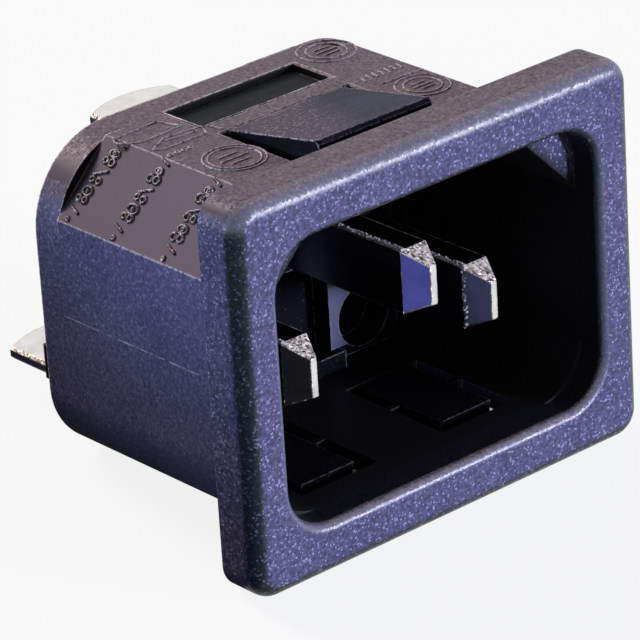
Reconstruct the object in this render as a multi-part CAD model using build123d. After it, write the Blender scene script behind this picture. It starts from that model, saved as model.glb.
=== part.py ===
from build123d import *
import os
from math import radians, sqrt, tan

# A snap-in power inlet for a panel, in millimetres.
# The panel's front face lies on y = 0. The bezel faces -Y, the tabs point to +Y,
# +X is to the right seen from the front, and +Z is up.
os.makedirs("parts", exist_ok=True)

# Bezel, the flange that stays in front of the panel
bezel_width = 30.2
bezel_height = 24.0
bezel_thickness = 3.05
bezel_corner = 1.7
bezel_front_round = 1.1

# Body behind the panel, for a cut-out of 27 by 20. The bezel overhangs it on all sides
flange_side = 1.75
flange_top = 2.05
body_depth = 17.0
body_chamfer = 4.0
body_low_round = 4.7
rim_length = 2.1
rim_round = 5.5

# Socket inside the body
side_wall = 1.1
roof_wall = 1.2
corner_wall = 2.1
mouth_depth = 2.05
mouth_round = 3.0
mouth_lead = 0.55
edge_break = 0.12

# Windows in the roof and the floor of the body, where the terminal carrier snaps in
window_width = 10.1
window_length = 3.5
window_margin = 2.0

# Wide snap latch on top
latch_strip = 1.5
latch_width = 8.6
latch_slot = 0.6
latch_rise = 1.35
panel_room = 2.2
nose_slant = 0.35
nose_bevel = 0.22
nose_gap = 1.05
hinge_gap = 0.03
latch_swing = 10.0
swing_spare = 2.0

# Two narrow snap latches underneath
low_latch_width = 4.0
low_latch_offset = 5.45
low_latch_slot = 0.9
low_latch_setback = 0.75
guide_reach = 4.0
guide_length = 0.4
guide_gap = 0.12
guide_root = 0.2

# Terminal carrier, the insert that closes the socket
seat_gap = 0.08
carrier_depth = 4.7
pad_height = 1.4
pad_width = 5.4
pad_edge_gap = 0.3
earth_pad_drop = 1.85
line_pad_rise = 1.6
centre_rib_width = 1.3
centre_rib_height = 0.8
well_radius = 2.0
well_drop = 4.43
well_depth = 1.9
catch_gap = 0.15
catch_sink = 0.45
arm_thickness = 1.0
lug_height = 0.75
lug_inner = 3.5
lug_width = 3.95
lug_root = 1.1
lug_inset = 0.35
side_lug_width = 2.2
side_lug_z = -3.9

# Contacts: a flat pin in the socket and a push-on tab at the rear
pin_side_room = 5.25
pin_offset = 4.12
earth_pin_z = 2.35
pin_width = 2.0
pin_height = 4.0
pin_edge = 0.15
earth_recess = 1.02
line_recess = 3.66
tip_length = 1.6
tip_width = 0.45
tip_height = 2.4
contact_gap = 0.05
bridge_depth = 2.4
strip_thickness = 0.8
tab_width = 6.3
earth_tab_drop = 2.35
line_tab_rise = 2.1
earth_tab_length = 8.4
line_tab_length = 9.0
tab_bulge = 1.0
tab_bevel = 0.18
tab_hole_radius = 0.85
tab_hole_inset = 4.4

# How far a cut runs past the surface it opens, and how close an edge lies to be picked
overcut = 1.0
pick = 0.01

# Sizes and places that follow from the sizes above
body_width = bezel_width - 2 * flange_side
body_height = bezel_height - 2 * flange_top
socket_width = body_width - 2 * side_wall
socket_height = body_height - 2 * roof_wall
socket_chamfer = body_chamfer + corner_wall * sqrt(2) - side_wall - roof_wall
socket_low_round = body_low_round - side_wall
web_front = mouth_depth - bezel_thickness
window_rear = body_depth - window_margin
window_front = window_rear - window_length
latch_root = window_front - latch_strip
low_latch_root = latch_root - low_latch_setback
floor_front = body_depth - carrier_depth
plate_front = floor_front + pad_height
bridge_front = body_depth - bridge_depth
pin_spacing = socket_width - 2 * pin_side_room
line_pin_x = pin_spacing / 2
line_pin_z = earth_pin_z - pin_offset
earth_tab_z = socket_height / 2 - earth_tab_drop
line_tab_z = -socket_height / 2 + line_tab_rise


def block(x0, x1, y0, y1, z0, z1):
    """A box between two corners."""
    return Pos(x0, y0, z0) * Box(x1 - x0, y1 - y0, z1 - z0, align=(Align.MIN, Align.MIN, Align.MIN))


def prism(face, y0, y1):
    """A face drawn as seen from the front, carried from y0 back to y1."""
    return extrude(Plane.XZ.offset(-y1) * face, y1 - y0)


def side_prism(points, x0, x1):
    """A closed outline of (y, z) points, carried from x0 to x1."""
    face = make_face(Polyline([(0, y, z) for y, z in points], close=True).edges())
    solid = extrude(face, x1 - x0, dir=(1, 0, 0))
    return Pos(x0, 0, 0) * solid


def flipped(shape):
    """The same shape upside down, as the floor of the body mirrors its roof."""
    return mirror(shape, Plane.XY)


def shouldered_face(width, height, top_cut, low_round):
    """An upright outline with cut top corners and rounded lower corners."""
    face = Rectangle(width, height)
    face = chamfer(face.vertices().group_by(Axis.Y)[-1], top_cut)
    return fillet(face.vertices().group_by(Axis.Y)[0], low_round)


def body_face():
    """The outline of the body behind the bezel."""
    return shouldered_face(body_width, body_height, body_chamfer, body_low_round)


def rim_face():
    """The rear rim, where all four corners are round."""
    face = Rectangle(body_width, body_height)
    face = fillet(face.vertices().group_by(Axis.Y)[-1], rim_round)
    return fillet(face.vertices().group_by(Axis.Y)[0], body_low_round)


def socket_face(inset):
    """The outline of the socket, drawn in by a clearance on every side."""
    cut = socket_chamfer - inset * (2 - sqrt(2))
    low_round = socket_low_round - inset
    return shouldered_face(socket_width - 2 * inset, socket_height - 2 * inset, cut, low_round)


def outer_shell():
    """The bezel, the body and the rim round its rear, as one filled block."""
    bezel = prism(RectangleRounded(bezel_width, bezel_height, bezel_corner), -bezel_thickness, 0)
    bezel = fillet(bezel.faces().sort_by(Axis.Y)[0].edges(), bezel_front_round)
    body = prism(body_face(), 0, body_depth - rim_length)
    return bezel + body + prism(rim_face(), body_depth - rim_length, body_depth)


def socket_space():
    """The socket: a square mouth, then a bore whose cut top corners key the plug."""
    mouth = prism(RectangleRounded(socket_width, socket_height, mouth_round), -bezel_thickness, web_front)
    return mouth + prism(socket_face(0), web_front, body_depth)


def window_space():
    """One window, through the roof of the body."""
    half = window_width / 2
    return block(-half, half, window_front, window_rear, socket_height / 2 - overcut, body_height / 2)


def latch_space(x, width, slot, root):
    """The opening that frees one latch, through the roof of the body."""
    half = width / 2 + slot
    front = panel_room - nose_slant - nose_gap
    return block(x - half, x + half, front, root, socket_height / 2 - overcut, body_height / 2)


def guide_rib(x, side):
    """A short rib in the slot beside a narrow latch, on the wall's side of the slot."""
    inner = x + side * (low_latch_width / 2 + guide_gap)
    outer = x + side * (low_latch_width / 2 + low_latch_slot + guide_root)
    front = low_latch_root - guide_reach
    rib = block(min(inner, outer), max(inner, outer), front, front + guide_length,
                -body_height / 2, -socket_height / 2)
    return rib & prism(body_face(), front, front + guide_length)


def housing():
    """The moulded housing, with its socket, windows and latch openings."""
    shell = outer_shell() - socket_space()
    front = shell.faces().sort_by(Axis.Y)[0]
    shell = fillet(front.inner_wires()[0].edges(), mouth_lead)
    shell -= window_space()
    shell -= flipped(window_space())
    shell -= latch_space(0, latch_width, latch_slot, latch_root)
    for x in (-low_latch_offset, low_latch_offset):
        shell -= flipped(latch_space(x, low_latch_width, low_latch_slot, low_latch_root))
    roof = body_height / 2
    for face in shell.faces().filter_by_position(Axis.Z, roof - pick, roof + pick):
        rims = [edge for wire in face.inner_wires() for edge in wire.edges()]
        if rims:
            shell = chamfer(rims, edge_break)
    for x in (-low_latch_offset, low_latch_offset):
        for side in (-1, 1):
            shell += guide_rib(x, side)
    return shell


def latch(x, width, root):
    """One sprung latch: a wedge that rises towards a slanted nose, which grips the panel."""
    roof = body_height / 2
    ceiling = socket_height / 2
    back = root - hinge_gap
    undercut = (roof - ceiling) * tan(radians(latch_swing + swing_spare))
    top = roof + latch_rise
    nose = panel_room
    outline = [
        (back, roof),
        (nose + nose_bevel, top),
        (nose, top - nose_bevel),
        (nose - nose_slant, ceiling),
        (back - undercut, ceiling),
    ]
    return side_prism(outline, x - width / 2, x + width / 2)


def pad(x, z_low, z_high):
    """A raised pad on the carrier's front, which the pin stands out of."""
    return block(x - pad_width / 2, x + pad_width / 2, floor_front, plate_front, z_low, z_high)


def catch():
    """A springy arm along the roof of the socket, with a head that fills the window."""
    half = window_width / 2 - catch_gap
    front = window_front + catch_gap
    top = socket_height / 2 - seat_gap
    arm = block(-half, half, front, plate_front, top - arm_thickness, top)
    head_top = body_height / 2 - catch_sink
    return arm + block(-half, half, front, window_rear - catch_gap, top - arm_thickness, head_top)


def rear_lug(x0, x1):
    """A stop on the carrier's rear face, which seats on the edge of the rim."""
    top = body_height / 2 - lug_inset
    return block(x0, x1, body_depth, body_depth + lug_height, socket_height / 2 - lug_root, top)


def side_lug(side):
    """A stop at the side of the rim."""
    inner = side * (socket_width / 2 - lug_root)
    outer = side * (body_width / 2 - lug_inset)
    return block(min(inner, outer), max(inner, outer), body_depth, body_depth + lug_height,
                 side_lug_z - side_lug_width / 2, side_lug_z + side_lug_width / 2)


def contact_pocket(x, pin_z, tab_z):
    """The slot for a pin, and the pocket behind it that takes the bridge and lets the tab out."""
    gap = contact_gap
    slot = block(x - pin_width / 2 - gap, x + pin_width / 2 + gap, floor_front - overcut, bridge_front,
                 pin_z - pin_height / 2 - gap, pin_z + pin_height / 2 + gap)
    low, high = bridge_span(pin_z, tab_z)
    pocket = block(x - tab_width / 2 - gap, x + tab_width / 2 + gap, bridge_front,
                   body_depth + lug_height + overcut, low - gap, high + gap)
    return slot + pocket


def terminal_carrier():
    """The insert at the rear of the socket. It holds the contacts and is the socket's floor."""
    plate = prism(socket_face(seat_gap), plate_front, body_depth)
    foot = -socket_height / 2 + pad_edge_gap
    pads = pad(0, earth_pin_z - pin_height / 2 - earth_pad_drop, -foot)
    for side in (-1, 1):
        x = side * line_pin_x
        pads += pad(x, foot, line_pin_z + pin_height / 2 + line_pad_rise)
    pads += block(-centre_rib_width / 2, centre_rib_width / 2, plate_front - centre_rib_height, plate_front,
                  foot, earth_pin_z)
    body = plate + (pads & prism(socket_face(seat_gap), floor_front, plate_front))
    body += catch() + flipped(catch())
    for side in (-1, 1):
        near = side * lug_inner
        far = side * (lug_inner + lug_width)
        lug = rear_lug(min(near, far), max(near, far))
        body += lug + flipped(lug) + side_lug(side)
    for side in (-1, 1):
        x = side * line_pin_x
        mark = Pos(x, line_pin_z - well_drop) * Circle(well_radius)
        body -= prism(mark, floor_front - overcut, floor_front + well_depth)
        body -= contact_pocket(x, line_pin_z, line_tab_z)
    return body - contact_pocket(0, earth_pin_z, earth_tab_z)


def bridge_span(pin_z, tab_z):
    """The lowest and highest reach of the upright bridge between a pin and its tab."""
    low = min(pin_z - pin_height / 2, tab_z - strip_thickness / 2)
    high = max(pin_z + pin_height / 2, tab_z + strip_thickness / 2)
    return low, high


def pin(x, z, tip):
    """A flat pin with a tip beveled on all four sides."""
    root = tip + tip_length
    shank = prism(Pos(x, z) * RectangleRounded(pin_width, pin_height, pin_edge), root, bridge_front)
    base = Plane.XZ.offset(-root) * Pos(x, z) * RectangleRounded(pin_width, pin_height, pin_edge)
    end = Plane.XZ.offset(-tip) * Pos(x, z) * RectangleRounded(tip_width, tip_height, pin_edge / 2)
    return shank + loft([base, end], ruled=True)


def tab(x, z, length):
    """A push-on tab with a round end, beveled edges and a hole."""
    start = bridge_front + strip_thickness
    end = body_depth + length
    half = tab_width / 2
    corner = end - tab_bulge
    outline = [
        Line((-half, corner), (-half, start)),
        Line((-half, start), (half, start)),
        Line((half, start), (half, corner)),
        ThreePointArc((half, corner), (0, end), (-half, corner)),
    ]
    face = make_face(outline)
    blade = Pos(0, 0, -strip_thickness / 2) * extrude(face, strip_thickness)
    flat_edges = blade.faces().sort_by(Axis.Z)[0].edges() + blade.faces().sort_by(Axis.Z)[-1].edges()
    blade = chamfer([edge for edge in flat_edges if edge.center().Y > start + pick], tab_bevel)
    hole = Pos(0, end - tab_hole_inset, 0) * Cylinder(tab_hole_radius, strip_thickness * 2)
    return Pos(x, 0, z) * (blade - hole)


def contact(x, pin_z, tab_z, tip, tab_length):
    """One contact, folded from plated strip: pin, upright bridge and tab."""
    low, high = bridge_span(pin_z, tab_z)
    half = tab_width / 2
    bridge = block(x - half, x + half, bridge_front, bridge_front + strip_thickness, low, high)
    return pin(x, pin_z, tip) + bridge + tab(x, tab_z, tab_length)


def save(shape, name):
    """Write one piece as its own STEP file."""
    shape.label = name
    export_step(shape, "parts/" + name + ".step")
    print(name, round(shape.volume, 2), "mm3")


earth_tip = earth_recess - bezel_thickness
line_tip = line_recess - bezel_thickness

save(housing(), "housing")
save(terminal_carrier(), "terminal_carrier")
save(contact(0, earth_pin_z, earth_tab_z, earth_tip, earth_tab_length), "earth_contact")
save(contact(-line_pin_x, line_pin_z, line_tab_z, line_tip, line_tab_length), "line_contact")
save(contact(line_pin_x, line_pin_z, line_tab_z, line_tip, line_tab_length), "neutral_contact")
save(latch(0, latch_width, latch_root), "top_latch")
save(flipped(latch(-low_latch_offset, low_latch_width, low_latch_root)), "left_lower_latch")
save(flipped(latch(low_latch_offset, low_latch_width, low_latch_root)), "right_lower_latch")
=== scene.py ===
# %% [markdown]
# # A snap-in power inlet
# The part is a black moulded socket for the back of a machine: a bezel, a keyed mouth with three
# flat pins, sprung latches that grip the panel, and push-on tabs at the rear. The fixed parts come
# from the CAD model. Here they get their surfaces, the small raised marks of the mould, a camera,
# a floor and lamps. Lengths are metres in the part's own frame.

# %% Load the fixed parts
import bpy
import bmesh
import math
import random
from mathutils import Matrix, Vector


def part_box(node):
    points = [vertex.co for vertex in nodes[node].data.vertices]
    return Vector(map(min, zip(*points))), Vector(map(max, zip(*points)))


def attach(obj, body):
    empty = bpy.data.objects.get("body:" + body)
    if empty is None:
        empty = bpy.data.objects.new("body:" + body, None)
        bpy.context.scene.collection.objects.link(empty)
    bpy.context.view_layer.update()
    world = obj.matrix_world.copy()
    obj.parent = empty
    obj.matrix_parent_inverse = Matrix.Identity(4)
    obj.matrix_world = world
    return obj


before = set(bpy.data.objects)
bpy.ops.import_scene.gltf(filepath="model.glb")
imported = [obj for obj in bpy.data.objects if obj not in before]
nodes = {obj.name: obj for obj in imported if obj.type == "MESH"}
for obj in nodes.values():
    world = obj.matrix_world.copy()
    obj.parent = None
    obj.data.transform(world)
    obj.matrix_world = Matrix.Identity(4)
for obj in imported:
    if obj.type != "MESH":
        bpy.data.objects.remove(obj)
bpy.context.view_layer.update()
mm = 0.001
random.seed(7)
print("parts:", sorted(nodes))

# %% [markdown]
# ## Camera
# The view was solved from the straight edges of the bezel and the body, so it stands at the real
# distance. A short lens close by would spread the bezel's sides, while a long lens far away keeps
# them nearly parallel. The camera is rolled a little, because the part rests on its bezel's lower
# edge and leans back.

# %% Camera
camera_place = Vector((-0.15402, -0.17410, 0.10609))
camera_forward = Vector((0.58722, 0.69466, -0.41549))
camera_roll = math.radians(-3.64)
lens_mm = 252.75

camera_data = bpy.data.cameras.new("camera")
camera_data.lens = lens_mm
camera_data.sensor_width = 36
camera_data.clip_start = 0.01
camera_data.clip_end = 20
camera = bpy.data.objects.new("camera", camera_data)
bpy.context.scene.collection.objects.link(camera)
level_right = camera_forward.cross(Vector((0, 0, 1))).normalized()
level_up = level_right.cross(camera_forward)
camera_right = math.cos(camera_roll) * level_right + math.sin(camera_roll) * level_up
camera_up = camera_right.cross(camera_forward)
turn = Matrix((camera_right, camera_up, -camera_forward)).transposed()
camera.matrix_world = Matrix.Translation(camera_place) @ turn.to_4x4()
bpy.context.scene.camera = camera
print("camera at", [round(c, 3) for c in camera_place])

# %% [markdown]
# ## Surfaces
# A finish could be painted on as an image, but an image has seams and one fixed sharpness. Here
# every finish is a small tree of shader nodes, worked out at each point from where it lies and which
# way it faces. Wiring nodes by hand takes many lines, so three small classes keep it short. The
# first makes a node, sets its values, and links what it is given as another node's output.

# %% A short way to wire shader nodes
class Wires:
    """The node tree of a material or a world, emptied first."""

    def __init__(self, owner):
        owner.use_nodes = True
        self.owner = owner
        self.nodes = owner.node_tree.nodes
        self.links = owner.node_tree.links
        self.nodes.clear()

    def add(self, kind, settings=None, **inputs):
        """A node of this kind. Settings are its properties. Inputs go by name, or as i0, i1."""
        node = self.nodes.new("ShaderNode" + kind)
        for key, value in (settings or {}).items():
            setattr(node, key, value)
        for key, value in inputs.items():
            numbered = key[0] == "i" and key[1:].isdigit()
            socket = node.inputs[int(key[1:]) if numbered else key.replace("_", " ")]
            if isinstance(value, bpy.types.NodeSocket):
                self.links.new(value, socket)
            else:
                socket.default_value = value
        return node

    def place(self):
        """Coordinates fixed to the object."""
        return self.add("TexCoord").outputs["Object"]

    def finish(self, surface):
        """Send this surface to the output, and give back the material."""
        self.add("OutputMaterial", Surface=surface)
        return self.owner


print("wires:", [name for name in vars(Wires) if not name.startswith("__")])

# %% [markdown]
# Zones and patterns are sums of plain values. A comparison gives 1 where it holds and 0 elsewhere,
# so a product of comparisons is a zone where all of them hold, and the largest of two zones joins
# them.

# %% Sums of values
class Sums(Wires):
    """Values worked out from other values."""

    def math(self, operation, a, b=0.0):
        """Two values joined by an operation."""
        return self.add("Math", {"operation": operation}, i0=a, i1=b).outputs[0]

    def join(self, operation, values):
        """Several values joined one after the other."""
        result = values[0]
        for value in values[1:]:
            result = self.math(operation, result, value)
        return result

    def times(self, *values):
        """Several values multiplied."""
        return self.join("MULTIPLY", values)

    def either(self, *values):
        """The largest of several values."""
        return self.join("MAXIMUM", values)

    def opposite(self, value):
        """0 where a value is 1, and 1 where it is 0."""
        return self.math("SUBTRACT", 1.0, value)

    def amount(self, value):
        """A value without its sign."""
        return self.math("ABSOLUTE", value)

    def less(self, value, limit):
        """1 where a value is below a limit."""
        return self.math("LESS_THAN", value, limit)

    def more(self, value, limit):
        """1 where a value is above a limit."""
        return self.math("GREATER_THAN", value, limit)

    def between(self, value, low, high):
        """1 where a value lies between two limits."""
        return self.times(self.more(value, low), self.less(value, high))

    def span(self, value, low, high, to_low=0.0, to_high=1.0):
        """A value carried from one range to another, and held at its ends."""
        node = self.add("MapRange", {"clamp": True}, i0=value, i1=low, i2=high, i3=to_low, i4=to_high)
        return node.outputs[0]

    def mix(self, share, a, b):
        """One colour run into another."""
        return self.add("Mix", {"data_type": "RGBA"}, i0=share, i6=a, i7=b).outputs[2]

    def blend(self, share, a, b):
        """One surface run into another."""
        return self.add("MixShader", i0=share, i1=a, i2=b).outputs["Shader"]


print("sums:", [name for name in vars(Sums) if not name.startswith("__")])

# %% [markdown]
# The last class adds the patterns of a real skin: clouds, grains, and normals that lean. A mould
# that was eroded by sparks leaves grains about a ninth of a millimetre wide, and every finish here
# uses grains of that one size. Edges could be rounded in the mesh, but the CAD mesh stays as it is,
# so the shader rounds them with a softened normal.

# %% Patterns of a skin
grain_scale = 9000


class Tree(Sums):
    """Patterns and normals for one surface."""

    def noise(self, scale, detail=2.0, roughness=0.5, stretch=None):
        """A cloudy value between 0 and 1, with this many clouds to a metre, stretched if asked."""
        place = self.place()
        if stretch:
            place = self.add("Mapping", Vector=place, Scale=stretch).outputs["Vector"]
        node = self.add("TexNoise", Vector=place, Scale=scale, Detail=detail, Roughness=roughness)
        return node.outputs["Fac"]

    def cells(self):
        """A random colour for each small grain."""
        return self.add("TexVoronoi", Vector=self.place(), Scale=grain_scale).outputs["Color"]

    def grains(self):
        """A random value for each small grain."""
        return self.add("SeparateColor", i0=self.cells()).outputs[0]

    def arrow(self, operation, output="Vector", **inputs):
        """Arrows joined by an operation."""
        return self.add("VectorMath", {"operation": operation}, **inputs).outputs[output]

    def bump(self, height, distance, strength, normal):
        """A normal that follows a height."""
        node = self.add("Bump", Height=height, Distance=distance, Strength=strength, Normal=normal)
        return node.outputs["Normal"]

    def rounded(self, radius):
        """A normal that rounds the edges of the mesh a little."""
        return self.add("Bevel", {"samples": 6}, Radius=radius).outputs["Normal"]

    def facets(self, normal, tilt):
        """A normal that leans another way on each grain, like the tiny peaks of an eroded skin."""
        lean = self.arrow("SUBTRACT", i0=self.cells(), i1=(0.5, 0.5, 0.5))
        lean = self.arrow("SCALE", i0=lean, Scale=tilt)
        return self.arrow("NORMALIZE", i0=self.arrow("ADD", i0=normal, i1=lean))

    def edges(self, normal):
        """How far a rounded normal leans away from its face, 0 on the flat and 1 on an edge."""
        flat = self.add("NewGeometry").outputs["Normal"]
        return self.span(self.arrow("DOT_PRODUCT", "Value", i0=flat, i1=normal), 0.998, 0.94)

    def shader(self, **inputs):
        """The main shader."""
        return self.add("BsdfPrincipled", **inputs).outputs["BSDF"]


print("grains are", round(1000 / grain_scale, 2), "mm wide")

# %% [markdown]
# ### Zones of the mould
# The housing has many finishes, and it could be cut into one piece for each. It is one moulding
# though, and its finishes follow the faces of the mould. So one material asks of each point where it
# lies and which way it faces. `Spot` holds those answers.

# %% Where a point lies
class Spot:
    """Where a shaded point lies and which way its face looks."""

    def __init__(self, tree):
        self.x, self.y, self.z = tree.add("SeparateXYZ", Vector=tree.place()).outputs
        self.side = tree.amount(self.x)
        self.height = tree.amount(self.z)
        normal = tree.add("NewGeometry").outputs["Normal"]
        self.nx, self.ny, self.nz = tree.add("SeparateXYZ", Vector=normal).outputs


def looks_up(tree, spot):
    """How much a face looks up."""
    return tree.span(spot.nz, 0.35, 0.65)


# %% [markdown]
# The socket is formed by a polished core, and its walls are painted deep black as the shade inside
# it. Its keyed section has two cut upper corners, closed near the mouth by webs that belong to the
# outer mould. The walls of the openings for the latches and the carrier's catch are smooth too and
# painted black as shade, and so is the rim's front face in the shadow behind the cut corners.

# %% Polished zones, painted black as shade
socket_half_width = 12.3 * mm
socket_half_height = 8.8 * mm
upper_corner_cut = 18.0 * mm
lower_corner_cut = 19.8 * mm
web_front = -1.05 * mm
web_rear = -0.5 * mm
opening_half_width = 8 * mm
opening_near = 0.3 * mm
opening_far = 16.5 * mm
roof_height = 9.9 * mm
rim_near = 14.0 * mm
rim_far = 15.5 * mm


def on_web(tree, spot):
    """1 on the webs that close the socket's upper corners."""
    facing = tree.less(spot.ny, -0.8)
    upper = tree.more(spot.z, 0.0)
    return tree.times(facing, upper, tree.between(spot.y, web_front, web_rear))


def on_core(tree, spot):
    """1 on the socket's polished walls, painted black as shade, 0 on the outside and on the webs."""
    across = tree.less(spot.side, socket_half_width)
    high = tree.less(spot.height, socket_half_height)
    deep = tree.more(spot.y, web_front)
    upper = tree.less(tree.math("ADD", spot.side, spot.z), upper_corner_cut)
    lower = tree.less(tree.math("SUBTRACT", spot.side, spot.z), lower_corner_cut)
    return tree.times(across, high, deep, upper, lower, tree.opposite(on_web(tree, spot)))


def on_opening_walls(tree, spot):
    """1 on the upright walls of the openings in the roof and the floor, painted black as shade."""
    upright = tree.less(tree.amount(spot.nz), 0.5)
    in_roof = tree.between(spot.height, socket_half_height - 0.1 * mm, roof_height)
    along = tree.between(spot.y, opening_near, opening_far)
    return tree.times(upright, in_roof, tree.less(spot.side, opening_half_width), along)


def on_rim_front(tree, spot):
    """1 on the rim's front face, painted black as the shadow behind the cut corners."""
    return tree.times(tree.less(spot.ny, -0.4), tree.between(spot.y, rim_near, rim_far))


print("socket mm:", round(2 * socket_half_width / mm, 1), "by", round(2 * socket_half_height / mm, 1))

# %% [markdown]
# The mouth has a rounded lip with a recess behind it, which is painted dark as shade. Hands and
# plugs rub the bezel's rounded edges smooth. The upper corners of the body are cut flat, and the two
# halves of the mould leave a thin line along its sides.

# %% Lip, roundings and lines
lip_rear = -2.5 * mm
lip_half_width = 12.85 * mm
lip_half_height = 9.35 * mm
lip_corner = 2.4 * mm
lip_round = 0.8 * mm
bezel_rear = -0.8 * mm
parting_height = -0.06 * mm
parting_width = 0.09 * mm
parting_near = 3 * mm
parting_far = 15 * mm


def in_recess(tree, spot):
    """1 on the recess walls between the mouth's rounded lip and the webs, painted dark as shade."""
    across = tree.either(tree.math("SUBTRACT", spot.side, lip_half_width - lip_corner), 0.0)
    high = tree.either(tree.math("SUBTRACT", spot.height, lip_half_height - lip_corner), 0.0)
    squares = tree.math("ADD", tree.math("POWER", across, 2.0), tree.math("POWER", high, 2.0))
    within = tree.less(tree.math("SQRT", squares), lip_corner)
    behind_lip = tree.between(spot.y, lip_rear, web_rear)
    return tree.times(within, behind_lip, tree.opposite(on_web(tree, spot)))


def on_lip(tree, spot):
    """1 on the mouth's rounded lip, painted lit grey, unless it faces down into shade."""
    across = tree.less(spot.side, lip_half_width + lip_round)
    high = tree.less(spot.height, lip_half_height + lip_round)
    return tree.times(across, high, tree.span(spot.nz, -0.4, -0.1))


def on_rounding(tree, spot):
    """1 on the bezel's rounded edges, 0 on its flat faces and behind it."""
    turned = tree.amount(spot.ny)
    rounding = tree.times(tree.span(turned, 0.10, 0.30), tree.span(turned, 0.995, 0.93))
    return tree.times(rounding, tree.less(spot.y, bezel_rear))


def on_cut_corner(tree, spot):
    """1 on the flat upper corners of the body."""
    return tree.times(tree.between(spot.nz, 0.6, 0.8), tree.less(tree.amount(spot.ny), 0.2))


def on_parting_line(tree, spot):
    """1 on the thin line that the two halves of the mould leave along the sides."""
    level = tree.between(spot.z, parting_height - parting_width / 2, parting_height + parting_width / 2)
    upright = tree.less(tree.amount(spot.nz), 0.1)
    outside = tree.more(spot.side, socket_half_width + 0.5 * mm)
    return tree.times(level, upright, outside, tree.between(spot.y, parting_near, parting_far))


print("mouth mm:", round(2 * lip_half_width / mm, 1), "by", round(2 * lip_half_height / mm, 1))

# %% [markdown]
# ### Spark-eroded black plastic
# The outer faces of the mould were eroded by sparks, so the skin is a field of tiny crests with dark
# hollows between them. It scatters a violet haze and catches the lamp as single bright grains. A
# plain rough plastic would be an even grey. Here a random value for each grain picks the crests,
# which are painted pale as glints, and a fine cloud paints shade into the hollows.

# %% Colours of the eroded skin
plastic_violet = (0.105, 0.102, 0.205, 1)
pale_crest_and_glint = (0.350, 0.340, 0.520, 1)
# Near black painted as shade: socket, openings' walls, rim front, hollows and the webs' inner ends.
shade_black = (0.012, 0.012, 0.014, 1)
# Pale painted glints of the webs.
web_glint = (0.62, 0.62, 0.86, 1)
web_edge = 16.4 * mm
web_fade = 1.8 * mm
bezel_step = 1 * mm


def violet_skin(tree, spot, fine, crest_glints, textured):
    """The skin's colour, with painted shade and glints that are plainer on the body than on the bezel.
    """
    clouds = tree.span(tree.noise(180, 3), 0.35, 0.7, 0, 0.12)
    color = tree.mix(clouds, plastic_violet, pale_crest_and_glint)
    # Painted shade in the hollows, deeper on the bezel than on the body.
    hollows = tree.mix(tree.span(spot.y, 0, bezel_step, 0.55, 0.36), color, shade_black)
    color = tree.mix(tree.times(textured, tree.span(fine, 0.40, 0.62, 1, 0)), color, hollows)
    # Painted glints: pale crests, fewer on the body than on the bezel, and fewer the lower they lie.
    on_body = tree.span(spot.z, -3 * mm, 6 * mm, 0.15, 0.50)
    sparkle = tree.span(spot.y, 0, bezel_step, 0.85, on_body)
    return tree.mix(tree.times(crest_glints, sparkle), color, pale_crest_and_glint)


def web_color(tree, spot, grain):
    """Webs: painted shade from black at the socket to violet in the corner, with painted glints."""
    into_corner = tree.span(tree.math("ADD", spot.side, spot.z), web_edge, web_edge + web_fade)
    base = tree.mix(into_corner, shade_black, plastic_violet)
    # Painted glints, only where the painted shade gives way to violet.
    glints = tree.times(tree.span(grain, 0.80, 0.92), into_corner)
    return tree.mix(glints, base, web_glint)


print("violet haze:", plastic_violet[:3])

# %% [markdown]
# Faces that look up are painted taupe, partly a film of dust and partly the warm light from above,
# painted in. The cut corner was ground smooth, and its darker taupe is painted shade. The sharp
# corners of the body are pale and broken, and so is the parting line: partly wear, and partly
# painted highlights that the edges catch. Wear could be modelled as small chips, but it is thinner
# than a hair, so a rounded normal finds the edges and a fine cloud breaks the line up.

# %% Dust, wear and painted light
# Pale of wear, and of painted highlights and glints on edges, motes, marks and burrs.
pale_wear_and_glint = (0.75, 0.70, 0.76, 1)
# Taupe of faces that look up: partly dust, partly painted warm light from above.
dust_and_light_dark = (0.072, 0.058, 0.073, 1)
dust_and_light_pale = (0.210, 0.168, 0.200, 1)
# The cut corner's darker taupe is painted shade.
shaded_cut_taupe = (0.074, 0.055, 0.068, 1)
wear_highlight_radius = 0.17 * mm
wear_highlight_near = 0.3 * mm


def dust_and_top_light(tree, spot, fine):
    """Taupe, partly settled grime and partly painted warm light, with painted shade on the cut corner.
    """
    dust_and_light = tree.mix(tree.span(fine, 0.30, 0.70), dust_and_light_dark, dust_and_light_pale)
    return tree.mix(on_cut_corner(tree, spot), dust_and_light, shaded_cut_taupe)


def wear_and_edge_highlight(tree, spot, fine):
    """How far the body's corners and the parting line are painted pale, as scuffs and highlights."""
    behind = tree.more(spot.y, wear_highlight_near)
    edge = tree.edges(tree.rounded(wear_highlight_radius))
    # Pale edges: painted highlights, partly wear.
    worn_glint = tree.times(edge, tree.span(fine, 0.36, 0.50), behind, 0.9)
    # The parting line, painted as a pale broken highlight.
    seam = tree.times(on_parting_line(tree, spot), tree.span(tree.noise(900, 3), 0.38, 0.62, 0, 0.6))
    return tree.either(worn_glint, seam)


print("wear reaches", round(wear_highlight_radius / mm, 2), "mm from an edge")

# %% [markdown]
# ### The housing's two surfaces
# One surface is the matt eroded skin. The other is the rubbed plastic of the bezel's rounded edges,
# which is black with a sharp shine. Where it looks up and on the mouth's lip, painted light makes it
# greyer. A single shader with a changing roughness could do both, but then the crests would shine
# on the flat faces too. So two shaders are made and the zone of the roundings picks between them.

# %% Eroded and rubbed plastic
rubbed_black = (0.014, 0.019, 0.021, 1)
rubbed_top_light = (0.100, 0.092, 0.155, 1)
recess_shade_black = (0.014, 0.015, 0.021, 1)
lip_lit_grey = (0.095, 0.112, 0.170, 1)


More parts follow.
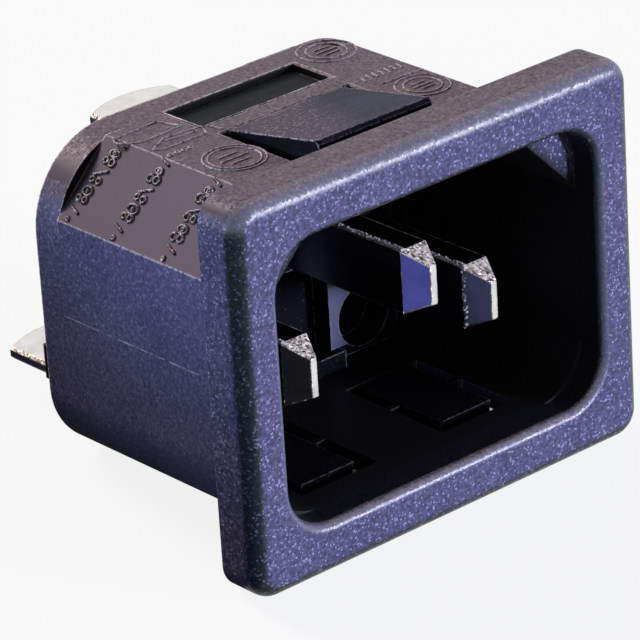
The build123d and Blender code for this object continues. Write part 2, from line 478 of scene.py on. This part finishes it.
def eroded_shader(tree, color, fine, textured, soft):
    """Matt skin, with facets where the mould was eroded."""
    normal = tree.bump(fine, 0.008 * mm, textured, soft)
    normal = tree.facets(normal, tree.times(textured, 0.30))
    matt = tree.span(fine, 0.3, 0.7, 0.48, 0.38)
    return tree.shader(Base_Color=color, Roughness=matt, Normal=normal, Specular_IOR_Level=0.12)


def rubbed_shader(tree, spot, fine, crest_glints, dust_and_light, soft):
    """Dark rubbed plastic of the rounded edges, with painted light where it looks up and on the lip."""
    normal = tree.facets(tree.bump(fine, 0.004 * mm, 0.6, soft), 0.17)
    color = tree.mix(on_lip(tree, spot), rubbed_black, lip_lit_grey)
    # Painted light: the roundings turn hazy, then taupe, the more they look up.
    color = tree.mix(tree.span(spot.nz, 0.10, 0.40), color, rubbed_top_light)
    color = tree.mix(tree.span(spot.nz, 0.55, 0.90), color, dust_and_light)
    # Painted glints on the crests of the rubbed roundings.
    color = tree.mix(tree.times(crest_glints, 0.40), color, pale_crest_and_glint)
    shine = tree.span(fine, 0.3, 0.7, 0.27, 0.40)
    gloss = tree.span(spot.nz, -0.3, 0.2, 0.15, 0.8)
    return tree.shader(Base_Color=color, Roughness=shine, Normal=normal, Specular_IOR_Level=gloss)


print("lip grey:", lip_lit_grey[:3])

# %% [markdown]
# Now the zones and colours come together. The order matters: dust and painted top light lie on the
# skin, wear and painted edge highlights break through them, and the polished zones, painted black
# as shade, come last, because they have neither.

# %% The housing's material
def housing_plastic(name):
    """All the finishes of the housing in one material."""
    tree = Tree(bpy.data.materials.new(name))
    spot = Spot(tree)
    fine = tree.noise(4200, 2, 0.6)
    grain = tree.grains()
    soft = tree.rounded(0.10 * mm)
    # Zones painted black as shade: the socket, the openings' walls and the rim's front face.
    black = tree.either(on_core(tree, spot), on_opening_walls(tree, spot), on_rim_front(tree, spot))
    textured = tree.opposite(tree.either(black, on_cut_corner(tree, spot)))
    crest_glints = tree.times(tree.span(grain, 0.86, 0.97), textured)
    dust_and_light = dust_and_top_light(tree, spot, fine)
    color = violet_skin(tree, spot, fine, crest_glints, textured)
    color = tree.mix(on_web(tree, spot), color, web_color(tree, spot, grain))
    # Faces that look up: partly dust, partly painted warm light from above.
    color = tree.mix(tree.times(looks_up(tree, spot), 0.88), color, dust_and_light)
    # Pale edges and parting line: painted highlights, partly wear.
    color = tree.mix(wear_and_edge_highlight(tree, spot, fine), color, pale_wear_and_glint)
    color = tree.mix(black, color, shade_black)
    # Painted shade in the recess behind the lip.
    color = tree.mix(in_recess(tree, spot), color, recess_shade_black)
    eroded = eroded_shader(tree, color, fine, textured, soft)
    rubbed = rubbed_shader(tree, spot, fine, crest_glints, dust_and_light, soft)
    return tree.finish(tree.blend(on_rounding(tree, spot), eroded, rubbed))


housing_skin = housing_plastic("housing_skin")
print("nodes in the housing's skin:", len(housing_skin.node_tree.nodes))

# %% [markdown]
# ### Smooth black plastic
# The latches and the terminal carrier come from polished parts of the mould. They are darker and
# smoother, with faint flow streaks and a few bright specks painted as glints. A pale painted
# reflection lies on the left half of the top latch, and faces that do not look up are painted near
# black as shade. Only the carrier's raised pads round the pins were eroded like the housing. They
# are painted pale, partly as lit faces, and fade into painted shadow beside a plate painted near
# black, partly as shade. The pads could have a material of their own, but they are one moulding with
# the plate, so a zone picks them out.

# %% Pads and the latch's painted reflection
pad_front = 12.6 * mm
pad_inner = 4.0 * mm
pad_foot = -7.7 * mm
pad_lit = 5.2 * mm
pad_dark = 8.0 * mm


def on_pads(tree, spot):
    """1 on the front of the carrier's outer pads, fading into a painted shadow of the well."""
    facing = tree.less(spot.ny, -0.7)
    near = tree.less(spot.y, pad_front)
    # Painted shadow: the pads darken further from the middle.
    inward = tree.span(spot.side, pad_lit, pad_dark, 1, 0.12)
    return tree.times(facing, near, inward, tree.more(spot.side, pad_inner), tree.more(spot.z, pad_foot))


def painted_latch_reflection(tree, spot, color, share):
    """A colour under a pale painted reflection that thins out towards the right, with painted glints."""
    diagonal = tree.math("SUBTRACT", spot.x, tree.times(spot.y, 0.35))
    # Painted reflection: a pale film on the left of faces that look up.
    reflection_film = tree.times(looks_up(tree, spot), tree.span(diagonal, -3.4 * mm, -0.8 * mm, 1, 0), share)
    dust_and_light = tree.mix(tree.span(tree.noise(4200, 2, 0.6), 0.35, 0.65), dust_and_light_dark, dust_and_light_pale)
    mote_glints = tree.times(reflection_film, tree.span(tree.grains(), 0.88, 0.97, 0, 0.8))
    return tree.mix(mote_glints, tree.mix(reflection_film, color, dust_and_light), pale_wear_and_glint)


print("pads begin", round(pad_inner / mm, 1), "mm from the middle")

# %% [markdown]
# The top latch, the carrier and the lower latches could have three materials made by hand. They
# differ only in colour, painted reflection and pale edges, so one function with a few choices makes
# all three.

# %% Smooth plastic
# Near black painted as shade.
shaded_tongue_black = (0.006, 0.006, 0.009, 1)


def smooth_plastic(name, base, streak, pad_color, reflection_share, wear_glint):
    """Smooth plastic, with its streaks, its pads' colour, its painted reflection and its pale edges."""
    tree = Tree(bpy.data.materials.new(name))
    spot = Spot(tree)
    soft = tree.rounded(0.08 * mm)
    flow = tree.noise(1500, 3, stretch=(0.15, 1, 1))
    fine = tree.noise(5000, 2)
    speck_glints = tree.span(tree.grains(), 0.96, 1.0)
    level = tree.more(spot.nz, 0.6)
    color = tree.mix(tree.times(level, tree.span(flow, 0.4, 0.7)), base, streak)
    # Faces that do not look up are painted near black as shade.
    color = tree.mix(level, shaded_tongue_black, color)
    # Painted glints: a few bright specks.
    color = tree.mix(tree.times(speck_glints, 0.12), color, pale_crest_and_glint)
    color = painted_latch_reflection(tree, spot, color, reflection_share)
    color = tree.mix(on_pads(tree, spot), color, pad_color)
    # Pale edges: painted highlights, partly wear.
    worn_glint = tree.times(tree.edges(tree.rounded(0.14 * mm)), tree.span(fine, 0.40, 0.54), wear_glint)
    color = tree.mix(worn_glint, color, pale_wear_and_glint)
    normal = tree.bump(flow, 0.004 * mm, 0.4, soft)
    normal = tree.bump(fine, 0.003 * mm, 0.4, normal)
    matt = tree.span(fine, 0.3, 0.7, 0.40, 0.50)
    return tree.finish(tree.shader(Base_Color=color, Roughness=matt, Normal=normal, IOR=1.12))


# %% Skins of the latches and the carrier
latch_black = (0.018, 0.021, 0.046, 1)
latch_streak = (0.032, 0.036, 0.072, 1)
# The plate is painted near black, partly as shade; the pads are painted pale, partly as lit faces.
carrier_black_and_shade = (0.009, 0.012, 0.014, 1)
carrier_streak = (0.019, 0.024, 0.026, 1)
carrier_pad_lit = (0.185, 0.185, 0.270, 1)

latch_skin = smooth_plastic("latch_skin", latch_black, latch_streak, shaded_tongue_black, 0.36, 0.9)
carrier_skin = smooth_plastic("carrier_skin", carrier_black_and_shade, carrier_streak, carrier_pad_lit, 0.0, 0.5)
# The lower latches lie in the socket's shade and are painted near black all over.
tongue_skin = smooth_plastic("tongue_skin", shaded_tongue_black, shaded_tongue_black, shaded_tongue_black, 0.0, 0.12)
print("smooth skins:", [skin.name for skin in (latch_skin, carrier_skin, tongue_skin)])

# %% [markdown]
# ### Shiny marks and pale burrs
# The raised marks of the cut corner were cut smooth into the mould. They are darker than the skin
# round them and glint on one side, and pale glints are painted into their colour. Where plastic or
# metal is sheared, it leaves a broken burr, painted pale as the highlight it catches. Both are so
# small that one noise does for the colour, the bump and the shine.

# %% Shiny plastic of the raised marks
mark_black = (0.007, 0.006, 0.008, 1)
mark_grey = (0.105, 0.098, 0.105, 1)


def shiny_plastic(name):
    """Dark plastic with grey, and pale glints painted into it."""
    tree = Tree(bpy.data.materials.new(name))
    soft = tree.rounded(0.04 * mm)
    fine = tree.noise(4500, 2)
    color = tree.mix(tree.span(fine, 0.45, 0.60), mark_black, mark_grey)
    # Painted glints: pale spots on the marks.
    color = tree.mix(tree.span(fine, 0.60, 0.68, 0, 0.6), color, pale_wear_and_glint)
    normal = tree.bump(fine, 0.030 * mm, 1.0, soft)
    polish = tree.span(fine, 0.3, 0.7, 0.24, 0.40)
    return tree.finish(tree.shader(Base_Color=color, Roughness=polish, Normal=normal, IOR=1.38))


mark_skin = shiny_plastic("mark_skin")
print("nodes in the marks' skin:", len(mark_skin.node_tree.nodes))


# %% Burr painted pale as a highlight
def burr_painted_pale(name):
    """A burr painted pale as its highlight, with dull breaks."""
    tree = Tree(bpy.data.materials.new(name))
    soft = tree.rounded(0.03 * mm)
    fine = tree.noise(3000, 3)
    color = tree.mix(tree.span(fine, 0.42, 0.52), dust_and_light_pale, pale_wear_and_glint)
    # Painted highlight along the burr's edges.
    color = tree.mix(tree.times(tree.edges(soft), 0.3), color, pale_wear_and_glint)
    normal = tree.bump(fine, 0.010 * mm, 0.8, soft)
    matt = tree.span(fine, 0.3, 0.7, 0.35, 0.55)
    return tree.finish(tree.shader(Base_Color=color, Roughness=matt, Normal=normal))


burr_highlight_skin = burr_painted_pale("burr_highlight_skin")
print("nodes in the burrs' skin:", len(burr_highlight_skin.node_tree.nodes))

# %% [markdown]
# ### Nickel on brass
# The contacts are punched from brass strip and plated with bright nickel. The flat faces are
# smooth, with fine draw lines along the strip, and inside the socket they are painted dark as shade
# and look black. The pressed bevels and the edges are gritty and glitter. A mirror finish alone would
# show only the dark socket there, so the grit is a second shader whose pale grains are painted
# highlights, partly plain pale metal.

# %% Plated metal
nickel = (0.78, 0.76, 0.74, 1)
nickel_dull = (0.62, 0.60, 0.58, 1)
painted_pin_shade = (0.030, 0.033, 0.036, 1)
grit_glint_pale = (1.0, 0.88, 0.75, 1)
burr_dark = (0.10, 0.09, 0.09, 1)
pin_root = 12 * mm


def plated_shader(tree, spot, in_socket, lines, normal):
    """Bright nickel, painted dark as shade on the flat faces of the pins inside the socket."""
    color = tree.mix(tree.span(tree.noise(700, 3), 0.35, 0.7), nickel, nickel_dull)
    flat = tree.more(tree.either(tree.amount(spot.nx), spot.nz), 0.9)
    # Painted shade: the flat faces inside the socket turn near black.
    color = tree.mix(tree.times(flat, in_socket, 0.97), color, painted_pin_shade)
    polish = tree.span(lines, 0.3, 0.7, 0.16, 0.26)
    return tree.shader(Base_Color=color, Metallic=1.0, Roughness=polish, Normal=normal)


def grit_shader(tree, pressed, normal):
    """Broken metal with painted glints, bright and dark grain by grain, paler on the pressed bevels."""
    # Painted glints: bright grains among dark ones, more of them on the pressed bevels.
    salt = tree.span(tree.math("ADD", tree.grains(), tree.times(pressed, 0.40)), 0.45, 0.60)
    color = tree.mix(salt, burr_dark, grit_glint_pale)
    broken = tree.facets(normal, tree.span(pressed, 0, 1, 2.2, 1.1))
    metal = tree.span(pressed, 0, 1, 0.6, 0.15)
    return tree.shader(Base_Color=color, Metallic=metal, Roughness=0.35, Normal=broken)


# The pins' flat faces are painted dark as shade up to this depth.
print("pins are tarnished up to", round(pin_root / mm, 1), "mm behind the bezel")

# %% [markdown]
# The grit lies on every edge, on the pressed bevels, and along the upper left edge of each pin. A
# wide softened normal leans to the left near that edge, which is how the shader finds it.

# %% The contacts' material
def plated_metal(name):
    """Nickel with gritty edges, bevels and upper left burrs."""
    tree = Tree(bpy.data.materials.new(name))
    spot = Spot(tree)
    soft = tree.rounded(0.12 * mm)
    lines = tree.noise(6000, 3, stretch=(1, 0.08, 1))
    normal = tree.bump(lines, 0.0012 * mm, 0.5, soft)
    in_socket = tree.less(spot.y, pin_root)
    pressed = tree.between(spot.nz, 0.3, 0.97)
    lean = tree.add("SeparateXYZ", Vector=tree.rounded(0.45 * mm)).outputs[0]
    upper_left = tree.times(tree.span(lean, -0.04, -0.20), in_socket, tree.more(spot.nz, 0.9))
    gritty = tree.either(tree.edges(soft), pressed, upper_left)
    plated = plated_shader(tree, spot, in_socket, lines, normal)
    grit = grit_shader(tree, pressed, normal)
    return tree.finish(tree.blend(tree.times(gritty, 0.95), plated, grit))


metal_skin = plated_metal("metal_skin")
print("nodes in the metal's skin:", len(metal_skin.node_tree.nodes))

# %% [markdown]
# ### Skins on the fixed parts
# Each fixed part keeps its mesh and its place from the CAD model. Only its material changes.

# %% Give the fixed parts their surfaces
skins = {
    "housing": housing_skin,
    "terminal_carrier": carrier_skin,
    "top_latch": latch_skin,
    "left_lower_latch": tongue_skin,
    "right_lower_latch": tongue_skin,
    "earth_contact": metal_skin,
    "line_contact": metal_skin,
    "neutral_contact": metal_skin,
}
for name, skin in skins.items():
    if not nodes[name].material_slots:
        nodes[name].data.materials.append(skin)
    for slot in nodes[name].material_slots:
        slot.material = skin
    print(name, "wears", skin.name)

# %% [markdown]
# ## Marks raised in the mould
# The roof and the cut corner carry small raised marks: rings, strokes and pips. They could be a bump
# in the material, but a bump vanishes at a low angle and from the exported mesh. So each mark is a
# real bead that stands half out of the skin. A curve with a round bevel turns a few points into a
# bead, and all the marks of a face are splines of one curve.

# %% Beads on a face
class Marks:
    """Raised beads on one face, all in one curve."""

    def __init__(self, name, radius, face):
        self.face = face
        self.curve = bpy.data.curves.new(name, "CURVE")
        self.curve.dimensions = "3D"
        self.curve.bevel_depth = radius
        self.curve.bevel_resolution = 1
        self.curve.use_fill_caps = True

    def bead(self, points, closed=False):
        """A raised line through these points of the face."""
        spline = self.curve.splines.new("POLY")
        spline.points.add(len(points) - 1)
        for target, (x, y) in zip(spline.points, points):
            target.co = (*self.face(x, y), 1)
        spline.use_cyclic_u = closed

    def stroke(self, *ends):
        """A raised line with straight stretches."""
        self.bead(ends)

    def arc(self, x, y, radius, start=0, end=360, squeeze=1.0):
        """A raised arc or ring, squeezed towards the rear if asked."""
        steps = max(6, int(abs(end - start) / 12))
        closed = abs(end - start) >= 360
        count = steps if closed else steps + 1
        turns = [math.radians(start + (end - start) * i / steps) for i in range(count)]
        points = [(x + radius * math.cos(t), y + radius * squeeze * math.sin(t)) for t in turns]
        self.bead(points, closed)

    def show(self, skin):
        """Put the beads into the scene, moulded to the inlet."""
        item = bpy.data.objects.new(self.curve.name, self.curve)
        bpy.context.scene.collection.objects.link(item)
        self.curve.materials.append(skin)
        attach(item, "inlet")
        print(self.curve.name, "splines:", len(self.curve.splines))


# %% [markdown]
# The roof has three roundels, each two rings with three bars, some short strokes in a row, and an
# open figure of slanted lines beside the window. The roundels share one function, and the strokes
# one loop. The slanted lines follow no rule, so they are drawn one by one.

# %% Marks of the roof
roof_bead = 0.07 * mm
roof_z = 9.95 * mm
middle_bar = 0.65
outer_bar = 0.45
bar_step = 0.38


def on_roof(x, y):
    """A point of the roof, in millimetres across and towards the rear."""
    return Vector((x * mm, y * mm, roof_z))


def roundel(x, y, outer, inner):
    """Two rings with three bars, whose lengths and steps are shares of the inner ring."""
    roof.arc(x, y, outer)
    roof.arc(x, y, inner)
    for k in (-1, 0, 1):
        half = inner * (outer_bar if k else middle_bar)
        level = y + k * bar_step * inner
        roof.stroke((x - half, level), (x + half, level))


roof = Marks("roof_marks", roof_bead, on_roof)
roundel(-6.80, 6.55, 1.85, 1.55)
roundel(7.57, 14.90, 1.80, 1.25)
roundel(7.57, 6.50, 1.65, 1.15)
roof.stroke((6.1, 8.45), (9.3, 8.35))
for k in range(7):
    roof.stroke((5.8 + 0.48 * k, 9.45), (5.95 + 0.48 * k, 10.15))
for k in range(4):
    roof.arc(-8.9 + 0.5 * k, 9.65, 0.14)
roof.arc(-7.9, 13.4, 1.9, 150, 260, 0.55)
roof.stroke((-9.5, 13.95), (-6.2, 14.1))
roof.stroke((-8.2, 12.4), (-5.6, 12.6), (-6.2, 14.1))
roof.stroke((-9.1, 11.0), (-7.6, 11.9), (-5.0, 11.6), (-5.4, 10.6), (-8.6, 10.6), (-9.1, 11.0))
roof.stroke((-7.8, 11.5), (-5.6, 11.3))
roof.stroke((-4.7, 11.5), (-4.4, 10.3))
roof.show(housing_skin)

# %% [markdown]
# Three rows of small rings, ticks and pips run up the slope of the cut corner. Even copies would
# look stamped by machine, so each ring differs a little in size.

# %% Marks of the cut corner
corner_bead = 0.11 * mm
corner_foot = Vector((-13.35 * mm, 0, 5.95 * mm))
corner_slope = Vector((1, 0, 1)).normalized()
slope_length = 5.66
row_start = 0.30
row_end = 5.45


def on_corner(x, y):
    """A point of the cut corner, in millimetres up its slope and towards the rear."""
    return corner_foot + corner_slope * x * mm + Vector((0, y * mm, 0))


def uneven(size):
    """A size that differs a little from mark to mark."""
    return size * random.uniform(0.75, 1.25)


def corner_row(foot, top, lean):
    """A row of small rings, strokes and pips up the slope, from its foot to its top."""
    kinds = ["pip", "tick", "eight", "ring", "eight", "bar", "eight", "ring", "tick"]
    for k, kind in enumerate(kinds):
        along = row_start + k * (row_end - row_start) / (len(kinds) - 1)
        y = foot + (top - foot) * along / slope_length
        if kind == "ring":
            corner.arc(along, y, uneven(0.26), squeeze=uneven(1.6))
            corner.arc(along, y, uneven(0.09))
        elif kind == "pip":
            corner.arc(along, y, 0.10)
        elif kind == "tick":
            corner.stroke((along - 0.15, y - 0.45 + lean), (along + 0.15, y + 0.35 + lean))
        elif kind == "eight":
            for half in (-0.27, 0.27):
                corner.arc(along + uneven(0.1), y + half, uneven(0.22))
        else:
            corner.stroke((along - 0.25, y + 0.5), (along + 0.2, y - 0.5))


corner = Marks("corner_marks", corner_bead, on_corner)
corner_row(14.2, 13.2, 0.0)
corner_row(10.1, 9.3, 0.1)
corner_row(5.7, 5.0, -0.1)
corner.show(mark_skin)

# %% [markdown]
# The window in the roof, where the carrier's catch sits, has a thin flash round its edge, painted
# pale as the highlight the edge catches. It is one closed bead, thinner than the marks.

# %% Burr round the window
burr_bead = 0.045 * mm
window_half_width = 5.05
window_near = 11.5
window_far = 15.0

window = Marks("window_burr", burr_bead, on_roof)
window.stroke(
    (window_half_width, window_far),
    (-window_half_width, window_far),
    (-window_half_width, window_near),
    (window_half_width, window_near),
)
window.show(burr_highlight_skin)

# %% [markdown]
# ## Grit on the pins
# Punching leaves fine grains along the upper left edge of each pin, and down the bevel of the
# neutral one, painted pale as the glints they catch. They could be strewn by a particle system, but a
# loop with a seeded chance gives the same grains in each run. They are small round lumps in one
# mesh. For each pin the list below gives its middle and its top, and how many grains lie along the
# top and down the bevel.

# %% Grains along the pins
pin_half_width = 1.0
pin_height = 4.0
pin_bevel = 1.6
grit_width = 0.34
grit_length = 9.5
grain_faces = 20
pins = {
    "earth_contact": (0.0, 4.35, 210, 0),
    "line_contact": (-7.0, 0.23, 150, 0),
    "neutral_contact": (7.0, 0.23, 110, 40),
}

grit_mesh = bpy.data.meshes.new("pin_grit")
grit = bmesh.new()


def grain(x, y, z):
    """One small round grain with its centre here, in millimetres."""
    place = Matrix.Translation(Vector((x * mm, y * mm, z * mm)))
    radius = random.uniform(0.04, 0.10) * mm
    bmesh.ops.create_icosphere(grit, subdivisions=1, radius=radius, matrix=place)


for name, (middle, top, along_top, down_bevel) in pins.items():
    edge = middle - pin_half_width
    bevel_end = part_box(name)[0].y / mm + pin_bevel
    for _ in range(along_top):
        x = edge + random.uniform(0.02, grit_width)
        grain(x, bevel_end + grit_length * random.random() ** 1.3, top)
    for _ in range(down_bevel):
        x = edge + random.uniform(0.0, 0.08)
        y = bevel_end + random.uniform(-0.2, 0.05)
        grain(x, y, top - pin_height * random.random())
grit.to_mesh(grit_mesh)
grit.free()
grit_item = bpy.data.objects.new("pin_grit", grit_mesh)
bpy.context.scene.collection.objects.link(grit_item)
grit_mesh.materials.append(burr_highlight_skin)
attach(grit_item, "inlet")
print("grains:", len(grit_mesh.polygons) // grain_faces)

# %% [markdown]
# ## Floor and backdrop
# The part stands on a pale table on its bezel's lower edge and on the body's rear edge, so the
# table lies a few degrees off the part's own level. A box of white card round it would light the
# part from all sides. Here the table is one flat sheet, which is clear from below.

# %% Floor
bezel_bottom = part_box("housing")[0].z
body_bottom = -9.95 * mm
body_rear = 17.0 * mm
lean = math.atan2(body_bottom - bezel_bottom, body_rear)
floor_size = 1.2

floor_mesh = bpy.data.meshes.new("floor")
sheet = bmesh.new()
bmesh.ops.create_grid(sheet, x_segments=8, y_segments=8, size=floor_size)
bmesh.ops.rotate(sheet, verts=sheet.verts, cent=(0, 0, 0), matrix=Matrix.Rotation(lean, 3, "X"))
bmesh.ops.translate(sheet, verts=sheet.verts, vec=(0, 0, bezel_bottom))
sheet.to_mesh(floor_mesh)
sheet.free()
floor = bpy.data.objects.new("floor", floor_mesh)
bpy.context.scene.collection.objects.link(floor)
print("floor leans", round(math.degrees(lean), 2), "degrees")

# %% [markdown]
# Seen by the camera or in the plating, table and world are plain white. A share of the table's
# white is real reflected light, which keeps the part's shadow. The patch right under the part gets
# almost no light, so it is darkened, and the openings in the socket's floor look black. For all
# other rays table and world are dim, so that the lamps alone light the part.

# %% White of the floor and the world
world_level = 0.06


def seen_rays(tree):
    """1 for rays from the camera, from shiny surfaces and through clear ones."""
    ray = tree.add("LightPath").outputs
    return tree.either(ray["Is Camera Ray"], ray["Is Glossy Ray"], ray["Is Transmission Ray"])


def under_part(tree):
    """1 on the patch of floor under the part, fading out at its edges."""
    x, y, z = tree.add("SeparateXYZ", Vector=tree.place()).outputs
    across = tree.times(tree.span(x, -9 * mm, -7 * mm), tree.span(x, 12 * mm, 9 * mm))
    return tree.times(across, tree.span(y, 1 * mm, 2.5 * mm), tree.span(y, 15 * mm, 11 * mm))


def floor_white(name):
    """White paper on the table."""
    tree = Tree(bpy.data.materials.new(name))
    paper = tree.mix(tree.noise(30, 2), (0.80, 0.90, 0.96, 1), (0.84, 0.94, 1.00, 1))
    lit = tree.add("BsdfDiffuse", Color=paper).outputs["BSDF"]
    dim = tree.add("BsdfDiffuse", Color=(0.14, 0.14, 0.14, 1)).outputs["BSDF"]
    white = tree.mix(under_part(tree), (1, 1, 1, 1), (0.04, 0.04, 0.04, 1))
    plain = tree.add("Emission", Color=white, Strength=1.0).outputs["Emission"]
    table = tree.blend(0.86, lit, plain)
    shown = tree.blend(seen_rays(tree), dim, table)
    clear = tree.add("BsdfTransparent").outputs["BSDF"]
    below = tree.add("NewGeometry").outputs["Backfacing"]
    return tree.finish(tree.blend(below, shown, clear))


floor_mesh.materials.append(floor_white("floor_white"))

world = bpy.data.worlds.new("studio")
bpy.context.scene.world = world
air = Tree(world)
strength = air.span(seen_rays(air), 0, 1, world_level, 1.0)
glow = air.add("Background", Color=(1, 1, 1, 1), Strength=strength).outputs["Background"]
air.add("OutputWorld", Surface=glow)
print("world level:", world_level)

# %% [markdown]
# ## Lamps
# One soft lamp stands low in front and to the right. It lights the front faces and reaches a little
# way into the socket. A smaller one beside it, a bit higher, draws the sheen along the bezel's
# rounded edges. A warm one stands high behind the part and lights the roof at a low angle. The left
# side gets a hooded cool lamp from the left rear, which fades towards the bottom of the side. One big
# lamp would be simpler, but it would light the left side and the socket as much as the front.

# %% Kinds of lamp
def put_lamp(data, toward, distance, aim):
    """Stand a lamp in this direction from the part and turn it to its aim."""
    item = bpy.data.objects.new(data.name, data)
    bpy.context.scene.collection.objects.link(item)
    item.location = Vector(toward).normalized() * distance
    item.rotation_mode = "QUATERNION"
    item.rotation_quaternion = (item.location - Vector(aim)).to_track_quat("Z", "Y")
    item.visible_camera = False
    print(data.name, "level", round(data.energy, 3), "W at", distance, "m")


def soft_lamp(name, toward, distance, size, level, color):
    """A soft square lamp. At level 1 it shows a white face as white."""
    data = bpy.data.lights.new(name, "AREA")
    data.shape = "RECTANGLE"
    data.size = size
    data.size_y = size
    data.color = color
    data.energy = level * (math.pi * distance) ** 2
    put_lamp(data, toward, distance, (0, 0, 0))


def hooded_lamp(name, toward, distance, aim, reach, size, level, color):
    """A lamp in a hood, whose light fades from its aim to nothing at this reach."""
    data = bpy.data.lights.new(name, "SPOT")
    data.spot_size = 2 * math.atan(reach / distance)
    data.spot_blend = 1.0
    data.shadow_soft_size = size
    data.color = color
    data.energy = level * (2 * math.pi * distance) ** 2
    put_lamp(data, toward, distance, aim)


# %% Lamps
studio_distance = 0.8
left_distance = 0.30
left_aim = (-13.4 * mm, 4.5 * mm, 10 * mm)
left_reach = 16 * mm

soft_lamp("front_lamp", (0.41, -0.91, 0.00), studio_distance, 0.15, 0.97, (0.63, 0.69, 1.0))
soft_lamp("edge_lamp", (0.587, -0.785, 0.200), studio_distance, 0.12, 0.50, (0.86, 0.86, 1.0))
soft_lamp("top_lamp", (-0.12, 0.80, 0.58), studio_distance, 0.25, 1.05, (1.0, 0.80, 0.74))
left_toward = (-0.80, 0.55, 0.10)
left_blue = (0.43, 0.56, 0.82)
hooded_lamp("left_lamp", left_toward, left_distance, left_aim, left_reach, 0.01, 1.25, left_blue)

# %% [markdown]
# ## Dark cards
# Bright metal and smooth plastic look like what is around them, and a white room would turn them
# white. A darker metal would be dull from every side. Instead dark cards show in them, as in a
# studio, and each one glows, so it paints a reflection. Two lie on the table at the left and glow
# dark blue. One lies under and behind the part and paints the table's shade there. Two small ones
# stand in the socket at the left of the earth and neutral pins, and their blue glow turns the pins'
# left bevels deep blue. Each is seen only in shiny surfaces and only from its front, so it casts no
# shadow and hides nothing.

# %% Cards
card_lift = 0.3 * mm


def card(name, corners, dark, pale):
    """A flat glowing card seen only in shiny surfaces and from its front, as a painted reflection."""
    mesh = bpy.data.meshes.new(name)
    sheet = bmesh.new()
    sheet.faces.new([sheet.verts.new(corner) for corner in corners])
    sheet.to_mesh(mesh)
    sheet.free()
    item = bpy.data.objects.new(name, mesh)
    bpy.context.scene.collection.objects.link(item)
    item.visible_camera = False
    item.visible_diffuse = False
    item.visible_shadow = False
    tree = Tree(bpy.data.materials.new(name + "_color"))
    shade = tree.mix(tree.noise(20, 2), dark, pale)
    front = tree.add("Emission", Color=shade, Strength=1.0).outputs["Emission"]
    clear = tree.add("BsdfTransparent").outputs["BSDF"]
    back = tree.add("NewGeometry").outputs["Backfacing"]
    mesh.materials.append(tree.finish(tree.blend(back, front, clear)))
    print(name, "is", round(mesh.polygons[0].area / mm ** 2), "square mm")


def on_floor(x0, y0, x1, y1):
    """The corners of a rectangle that lies on the floor, in millimetres."""
    places = [(x0, y0), (x1, y0), (x1, y1), (x0, y1)]
    return [(x * mm, y * mm, bezel_bottom + card_lift + y * mm * math.tan(lean)) for x, y in places]


def upright(x, y0, z0, y1, z1):
    """The corners of a rectangle that stands across the part, in millimetres."""
    return [(x * mm, y * mm, z * mm) for y, z in ((y0, z0), (y1, z0), (y1, z1), (y0, z1))]


front_floor = on_floor(-150, -120, -15.3, 0)
rear_floor = on_floor(-150, 0, -15.3, 120)
under_floor = on_floor(-15.3, -1, 13, 60)
by_earth_pin = upright(-5.9, -3.0, -2.4, 1.8, 2.4)
by_neutral_pin = upright(1.5, -3.0, -5.8, 1.8, -1.8)
# Cards that paint reflections: blue on the table, shade under the part, blue by the pins.
card("front_card", front_floor, (0.025, 0.035, 0.16, 1), (0.035, 0.045, 0.20, 1))
card("rear_card", rear_floor, (0.030, 0.038, 0.070, 1), (0.040, 0.048, 0.090, 1))
card("under_card", under_floor, (0.010, 0.012, 0.020, 1), (0.014, 0.016, 0.026, 1))
card("earth_pin_card", by_earth_pin, (0.06, 0.07, 0.33, 1), (0.08, 0.09, 0.42, 1))
card("neutral_pin_card", by_neutral_pin, (0.020, 0.025, 0.060, 1), (0.045, 0.055, 0.14, 1))

# %% [markdown]
# ## Settings
# The plain view transform shows each colour about as it is written.

# %% Settings
scene = bpy.context.scene
scene.view_settings.view_transform = "Standard"
